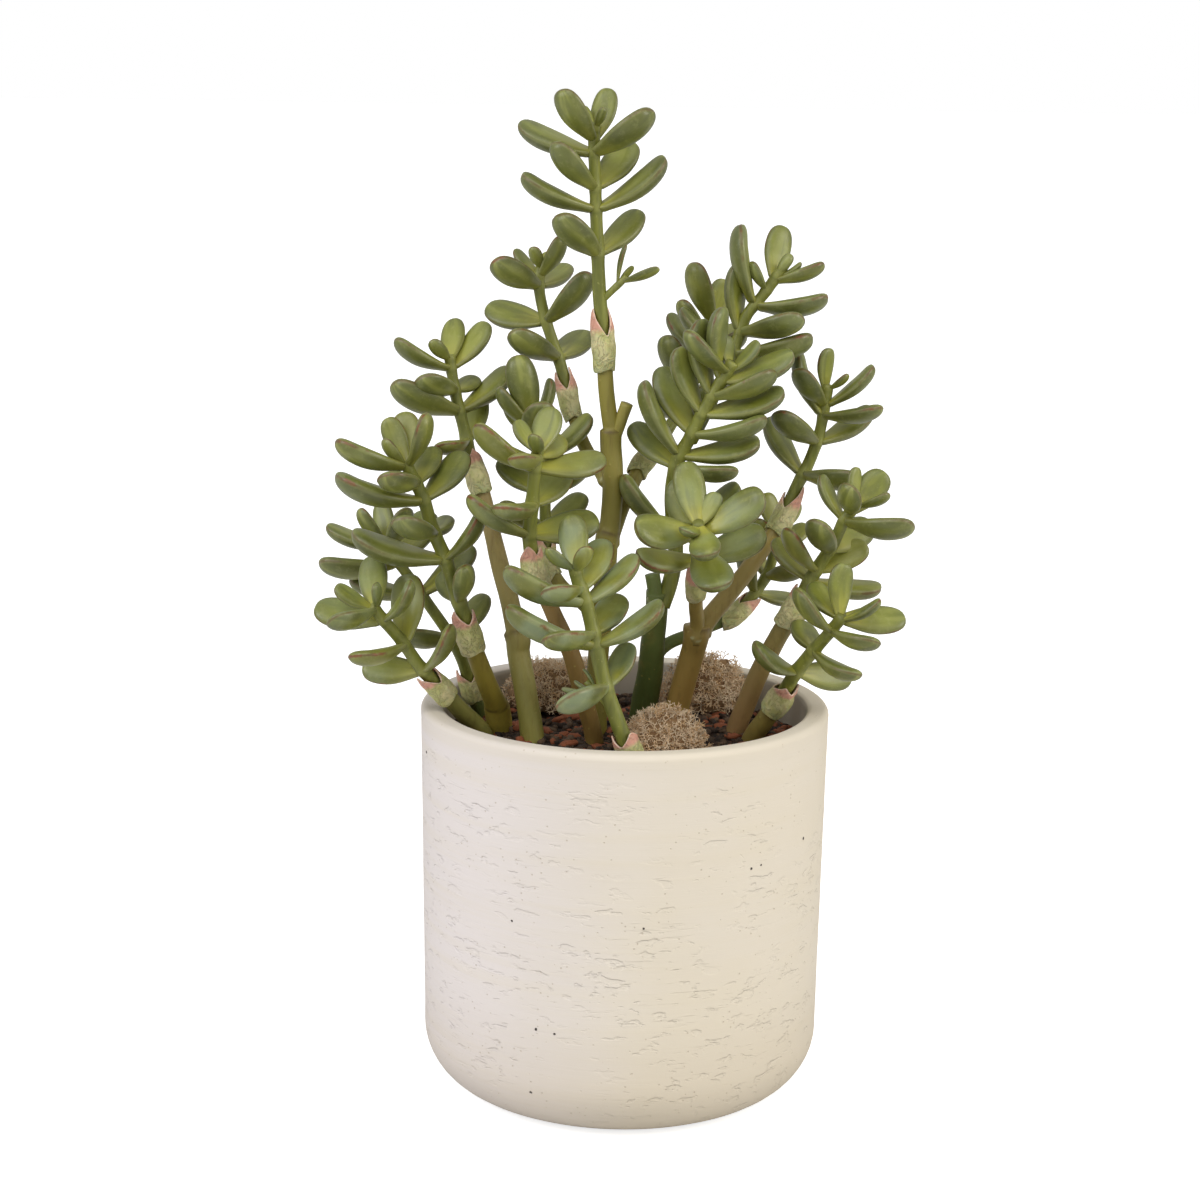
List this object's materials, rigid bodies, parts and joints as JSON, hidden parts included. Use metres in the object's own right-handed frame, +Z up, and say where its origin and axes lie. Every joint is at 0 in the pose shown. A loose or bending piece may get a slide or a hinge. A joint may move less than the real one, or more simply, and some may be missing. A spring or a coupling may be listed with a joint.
{
  "type": "potted jade plant",
  "caption": "Straight cream planter filled with bark soil, with thick woody canes that carry sprigs of plump oval leaves plugged into petal-like sheaths.",
  "frame": {"origin": "centre of the pot's underside, on the surface that the pot stands on", "axes": "+Z up along the pot's axis, +X to the viewer's right and -Y towards the viewer, with the pot's front seen from -Y"},
  "size_m": [0.2286, 0.1624, 0.3903],
  "materials": {
    "pot": "matte cream, smooth rim, fine pits and brushed lines on the wall",
    "soil": "damp black-brown granules and bark chips",
    "moss": "dry tan fibres, loose and curled",
    "cane": "olive to ochre bark with growth rings, satin",
    "leaf": "satin green, yellow-green at the root, red-brown along the edge",
    "sheath": "pale yellow-green, cracked, salmon-pink at the lobes"
  },
  "bodies": {
    "root": {"pot": "pot", "soil": "soil", "moss_front": "moss", "moss_left": "moss", "moss_right": "moss", "cane_middle": "cane", "cane_left_high": "cane", "cane_left": "cane", "cane_left_low": "cane", "cane_left_back": "cane", "cane_front_left": "cane", "cane_front": "cane", "cane_fork": "cane", "cane_right_middle": "cane", "cane_right_low": "cane", "sprig_crown": "leaf", "sprig_crown_left": "leaf", "sprig_left_high": "leaf", "sprig_left": "leaf", "sprig_left_low": "leaf", "sprig_left_back": "leaf", "sprig_front_left": "leaf", "sprig_middle_back": "leaf", "sprig_front": "leaf", "sprig_right_high": "leaf", "sprig_right_inner": "leaf", "sprig_rosette": "leaf", "sprig_far_right": "leaf", "sprig_right_middle": "leaf", "sprig_right_low": "leaf", "sprig_right_back": "leaf", "sheath_crown": "sheath", "sheath_crown_left": "sheath", "sheath_left_high": "sheath", "sheath_left": "sheath", "sheath_left_low": "sheath", "sheath_left_back": "sheath", "sheath_front_left": "sheath", "sheath_middle_back": "sheath", "sheath_front": "sheath", "sheath_right_inner": "sheath", "sheath_rosette": "sheath", "sheath_far_right": "sheath", "sheath_right_middle": "sheath", "sheath_right_low": "sheath", "sheath_right_back": "sheath"}
  },
  "joints": []
}
